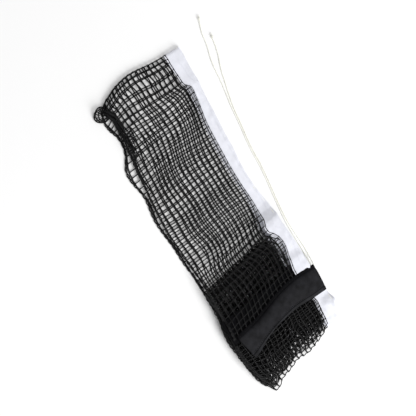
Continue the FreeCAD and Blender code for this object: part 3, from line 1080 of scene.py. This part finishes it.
class NET_OT_cords(bpy.types.Operator):
    """Make the two free tails of the tension cord and their knots"""

    bl_idname = "net.cords"
    bl_label = "Cord tails"

    def execute(self, context):
        diameter = context.scene.net_sizes.cord_diameter
        for which, points in TAIL_POINTS.items():
            line = cord_curve("cord_line_" + which, points, diameter, cream_cord())
            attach(line, "folded_net")
            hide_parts("cord_tail_" + which)
            low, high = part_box("cord_knot_" + which)
            centre = np.array((low + high) / 2)
            centre[2] = KNOT_Z
            knot = self.knot("knot_" + which, centre, Vector(points[-1]) - Vector(points[-2]), diameter)
            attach(knot, "folded_net")
            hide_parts("cord_knot_" + which)
        for layer in ("lower", "fold", *PANELS, "top"):
            self.hidden(layer, diameter)
        return {"FINISHED"}

    def hidden(self, layer, diameter):
        """The cord inside the tape: it follows the tape's outer fold, a little more than its own width in."""
        sizes = bpy.context.scene.net_sizes
        length = layer_length(layer)
        s = np.linspace(0, length, max(10, int(length / 0.003)))
        line = tape_point(layer, s, sizes.tape_width - CORD_FROM_TAPE_EDGE)[None]
        vertices, faces = tube_set(line, np.full(line.shape[:2], diameter * 0.42), 8)
        name = "cord_inside_" + layer
        piece = new_object(name, vertices, faces, cream_cord())
        if layer == "fold":
            across_fold(piece)
            return
        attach(piece, "top_layer" if layer == "top" else "folded_net")
        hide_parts("tension_cord_" + layer)

    def knot(self, name, centre, direction, diameter):
        """A tube of the cord's own thickness along the knot's line, with a short frayed end past it."""
        line = knot_points(centre, direction)[None]
        parts = [tube_set(line, np.full(line.shape[:2], diameter * 0.46), 10, up=(0.02, 0.03, 1.0))]
        along = np.array(direction.normalized())
        rng = np.random.default_rng(5)
        fray = np.linspace(0, 1, 6)[None, :, None]
        spread = rng.normal(0, 0.22, (7, 1, 3))
        spread[..., 2] = np.abs(spread[..., 2]) * 0.3
        start = centre + along * 0.0016 + np.array([0, 0, -0.0008])
        ends = start + fray * 0.0032 * (along + spread) + fray**2 * 0.0006 * spread
        ends[..., 2] = np.maximum(ends[..., 2], 0.0004)
        parts.append(tube_set(ends, np.full(ends.shape[:2], 0.00022), 5))
        vertices, faces = joined(parts)
        return new_object(name, vertices, faces, cream_cord())


def stitch_row(name, points, normal_lift, radius, material):
    """A row of stitches along a line: short beads, each of which rises from the cloth and goes back."""
    count = (len(points) // STITCH_SAMPLES) * STITCH_SAMPLES
    spans = points[:count].reshape(-1, STITCH_SAMPLES, 3)[:, :7].copy()
    rise = np.sin(np.linspace(0, math.pi, 7))
    spans[..., 2] += normal_lift * rise
    thick = np.broadcast_to(radius * (0.45 + 0.55 * rise), spans.shape[:2])
    vertices, faces = tube_set(spans, thick, 6)
    return new_object(name, vertices, faces, material)


class NET_OT_stitching(bpy.types.Operator):
    """Make the rows of stitches on the top tape and on the sleeve"""

    bl_idname = "net.stitching"
    bl_label = "Stitching"

    def execute(self, context):
        sizes = context.scene.net_sizes
        step = sizes.stitch_length / STITCH_SAMPLES
        for layer, body in (("lower", "folded_net"), ("top", "top_layer")):
            length = layer_length(layer)
            s = np.arange(0.004, length - 0.004, step)
            base = lay(layer, s, np.ones_like(s))
            for row, out, up in TAPE_ROWS:
                points = base + (0, out, up)
                piece = stitch_row(f"tape_stitches_{layer}_{row}", points, 0.00025, 0.00022, white_tape())
                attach(piece, body)
        u = np.arange(0.02, 0.98, step / SLEEVE_LENGTH)
        x, y = sleeve_place(u, 0.0)
        seam = stacked(x + SEAM_MIDDLE, y, SLEEVE_TUBE[0].z + 0.0024)
        hem = sleeve_upper(u, HEM_STITCHES_AT) + (0, 0, 0.0005)
        for row, body, points in (("seam", "top_layer", seam), ("hem", "top_sleeve", hem)):
            piece = stitch_row("sleeve_stitches_" + row, points, 0.0003, 0.00024, black_thread())
            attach(piece, body)
        return {"FINISHED"}


def stage_material():
    """Matte white surface with a very faint tone change."""
    material, tree, shader = base_material("white_surface", (0.93, 0.93, 0.93), 0.9, 0.0, 0.1)
    mottled(tree, shader, (0.93, 0.93, 0.93), 0.01, 3.0)
    return material


def area_light(name, place, target, size, power):
    """A soft square light that looks at a point."""
    data = bpy.data.lights.new(name, "AREA")
    data.size = size
    data.energy = power
    obj = bpy.data.objects.new(name, data)
    bpy.context.scene.collection.objects.link(obj)
    obj.location = place
    obj.rotation_euler = (Vector(target) - Vector(place)).to_track_quat("-Z", "Y").to_euler()
    return obj


class NET_OT_stage(bpy.types.Operator):
    """Make the surface, the lights and the camera"""

    bl_idname = "net.stage"
    bl_label = "Stage"

    def execute(self, context):
        settings = context.scene.net_stage
        half = 6.0
        corners = np.array([(-half, -half, 0), (half, -half, 0), (half, half, 0), (-half, half, 0)], float)
        floor = new_object("surface", corners, [[0, 1, 2, 3]], stage_material(), smooth=False)
        world = context.scene.world or bpy.data.worlds.new("world")
        context.scene.world = world
        world.use_nodes = True
        sky = world.node_tree.nodes["Background"]
        sky.inputs["Color"].default_value = (1, 1, 1, 1)
        sky.inputs["Strength"].default_value = 0.50
        area_light("key_light", (2.4, 0.2, 1.7), (0, 0, 0), 2.0, 82)
        area_light("fill_light", (-0.5, 0.4, 2.2), (0, 0, 0), 1.6, 11)
        context.scene.view_settings.view_transform = "Standard"
        context.scene.view_settings.look = "None"
        self.camera(context, settings)
        return {"FINISHED"}

    def camera(self, context, settings):
        """The camera stands back along its azimuth and elevation, and is turned by its roll."""
        azimuth, elevation, roll = settings.azimuth, settings.elevation, settings.roll
        back = Vector((
            math.sin(azimuth) * math.cos(elevation),
            -math.cos(azimuth) * math.cos(elevation),
            math.sin(elevation),
        ))
        level = Vector((-back.x, -back.y, 0)).normalized().cross(Vector((0, 0, 1)))
        rise = back.cross(level)
        right = level * math.cos(roll) + rise * math.sin(roll)
        up = rise * math.cos(roll) - level * math.sin(roll)
        target = Vector((-0.035, 0.003, 0.006))
        place = target + back * settings.distance - right * 0.007 - up * 0.0042
        data = bpy.data.cameras.new("camera")
        data.lens = settings.lens
        data.sensor_width = 36
        data.clip_start = 0.05
        data.clip_end = 50
        camera = bpy.data.objects.new("camera", data)
        context.scene.collection.objects.link(camera)
        turn = Matrix((right, up, back)).transposed().to_4x4()
        camera.matrix_world = Matrix.Translation(place) @ turn
        context.scene.camera = camera


class NET_PT_panel(bpy.types.Panel):
    """Lists the net's sizes, colours and building steps"""

    bl_idname = "NET_PT_panel"
    bl_label = "Folded net"
    bl_space_type = "VIEW_3D"
    bl_region_type = "UI"
    bl_category = "Net"

    def draw(self, context):
        for group in (context.scene.net_sizes, context.scene.net_finish, context.scene.net_stage):
            box = self.layout.box()
            for name in group.__annotations__:
                box.prop(group, name)
        for step in STEPS:
            self.layout.operator(step.bl_idname)


GROUPS = (NetSizes, NetFinish, StageSettings)
STEPS = (
    NET_OT_stage, NET_OT_cords, NET_OT_netting, NET_OT_corner, NET_OT_selvedge, NET_OT_tape, NET_OT_sleeves,
    NET_OT_stitching,
)


def register():
    for cls in (*GROUPS, *STEPS, NET_PT_panel):
        bpy.utils.register_class(cls)
    bpy.types.Scene.net_sizes = PointerProperty(type=NetSizes)
    bpy.types.Scene.net_finish = PointerProperty(type=NetFinish)
    bpy.types.Scene.net_stage = PointerProperty(type=StageSettings)


def unregister():
    del bpy.types.Scene.net_stage
    del bpy.types.Scene.net_finish
    del bpy.types.Scene.net_sizes
    for cls in reversed((*GROUPS, *STEPS, NET_PT_panel)):
        bpy.utils.unregister_class(cls)


def main():
    """Register the add-on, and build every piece."""
    register()
    for step in STEPS:
        group, name = step.bl_idname.split(".")
        if getattr(getattr(bpy.ops, group), name)() != {"FINISHED"}:
            raise RuntimeError(f"{step.bl_idname} did not finish")


if __name__ == "__main__":
    main()
